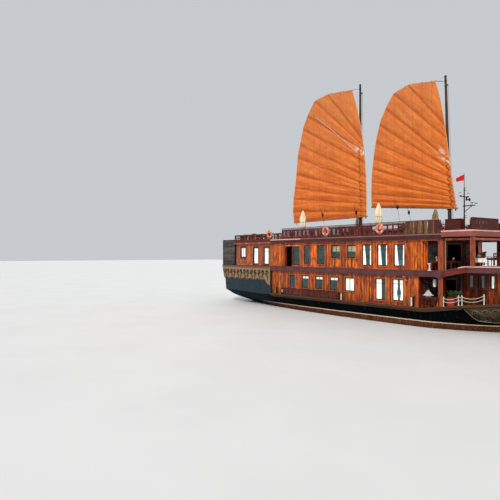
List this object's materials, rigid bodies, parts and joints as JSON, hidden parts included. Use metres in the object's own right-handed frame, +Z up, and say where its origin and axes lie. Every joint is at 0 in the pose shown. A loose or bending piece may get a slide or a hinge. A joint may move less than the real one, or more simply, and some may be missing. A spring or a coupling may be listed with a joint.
{
  "type": "chinese junk cruise ship",
  "caption": "Two-masted junk cruise ship with orange battened sails, varnished two-deck cabin, open verandahs, sundeck and carved stern.",
  "frame": {"origin": "on the waterline, on the centreline, amidships", "axes": "+X towards the bow, +Y to port, +Z up"},
  "size_m": [39.09, 8.695, 22.9145],
  "materials": {
    "hull_paint": "dark gloss paint over planks, red-brown boot-top",
    "bottom_paint": "matt antifouling",
    "quarter_paint": "slate-blue gloss paint over planks",
    "carving": "carved wood, brown and old gold",
    "bow_carving": "carved wood, olive gold",
    "varnished_wall": "varnished vertical boards",
    "dark_wall": "dark red-brown varnish",
    "belt": "purple-brown paint",
    "roof_edge": "dark pinkish brown paint, grey deck on top",
    "parapet": "weathered dark varnish",
    "weathered": "dark grey weathered boards",
    "mast": "dark oiled wood",
    "spar": "oiled wood",
    "sailcloth": "orange sailcloth",
    "awning_cloth": "cream canvas",
    "flag_cloth": "red bunting",
    "rope": "white rope on white stanchions",
    "bronze": "bronze",
    "white_enamel": "white gloss",
    "iron": "black painted iron",
    "lifebuoy": "salmon orange skin with white bands"
  },
  "bodies": {
    "hull": {"hull": "hull_paint", "keel": "bottom_paint", "stern_quarter": "quarter_paint", "stern_carving_stbd": "carving", "stern_carving_port": "carving", "bow_carving_stbd": "bow_carving", "bow_carving_port": "bow_carving", "rubbing_rail": "belt", "bow_bulwark": "dark_wall", "lower_wall_stbd": "varnished_wall", "lower_wall_port": "varnished_wall", "lower_front_wall": "dark_wall", "upper_wall_stbd": "varnished_wall", "upper_wall_port": "varnished_wall", "upper_front_wall": "dark_wall", "castle_wall_stbd": "varnished_wall", "castle_wall_port": "varnished_wall", "castle_aft_wall": "varnished_wall", "stern_gallery": "weathered", "middle_deck": "belt", "roof": "roof_edge", "lower_verandah_stbd": "varnished_wall", "lower_verandah_port": "varnished_wall", "verandah_frame": "varnished_wall", "parapet_stbd": "parapet", "parapet_port": "parapet", "fore_parapet": "parapet", "stern_rail": "parapet", "rope_rail_stbd": "rope", "rope_rail_port": "rope", "fore_cabin": "dark_wall", "fore_balustrade": "dark_wall", "main_mast": "mast", "fore_mast": "mast", "signal_mast": "mast", "flag": "flag_cloth", "windlass": "iron", "bow_bitts": "dark_wall", "anchor": "iron", "parasol_aft_stbd": "awning_cloth", "parasol_aft_port": "awning_cloth", "parasol_mid_stbd": "awning_cloth", "parasol_mid_port": "awning_cloth", "lifebuoy_aft_stbd": "lifebuoy", "lifebuoy_aft_port": "lifebuoy", "lifebuoy_mid_stbd": "lifebuoy", "lifebuoy_mid_port": "lifebuoy", "lifebuoy_fore_stbd": "lifebuoy", "lifebuoy_fore_port": "lifebuoy"},
    "rudder": {"rudder": "bottom_paint"},
    "propeller": {"propeller": "bronze"},
    "main_rig": {"main_sail": "sailcloth", "main_spars": "spar"},
    "fore_rig": {"fore_sail": "sailcloth", "fore_spars": "spar"},
    "radar": {"radar_scanner": "white_enamel"},
    "door_stbd": {"side_door_stbd": "dark_wall"},
    "door_port": {"side_door_port": "dark_wall"},
    "cabin_door": {"fore_cabin_door": "varnished_wall"}
  },
  "joints": [
    {"name": "rudder_turn", "type": "hinge", "parent": "hull", "child": "rudder", "pos_m": [-15.3, 0, -1], "axis": [0, 0, 1], "range_deg": [-35, 35]},
    {"name": "propeller_spin", "type": "hinge", "parent": "hull", "child": "propeller", "pos_m": [-14.6103, 0, -1.18], "axis": [1, 0, 0], "continuous": true},
    {"name": "main_sail_swing", "type": "hinge", "parent": "hull", "child": "main_rig", "pos_m": [-1.95, 0, 8.7], "axis": [0, 0, 1], "range_deg": [-35, 35]},
    {"name": "fore_sail_swing", "type": "hinge", "parent": "hull", "child": "fore_rig", "pos_m": [7.3, 0, 6.7803], "axis": [-0.03, 0, 0.9996], "range_deg": [-35, 35]},
    {"name": "radar_spin", "type": "hinge", "parent": "hull", "child": "radar", "pos_m": [9.23, 0, 9.1], "axis": [0, 0, 1], "continuous": true},
    {"name": "door_stbd_slide", "type": "slide", "parent": "hull", "child": "door_stbd", "axis": [1, 0, 0], "range_m": [0, 1.08]},
    {"name": "door_port_slide", "type": "slide", "parent": "hull", "child": "door_port", "axis": [1, 0, 0], "range_m": [0, 1.08]},
    {"name": "cabin_door_swing", "type": "hinge", "parent": "hull", "child": "cabin_door", "pos_m": [13.508, -0.386, 3], "axis": [0, 0, -1], "range_deg": [0, 100]}
  ]
}
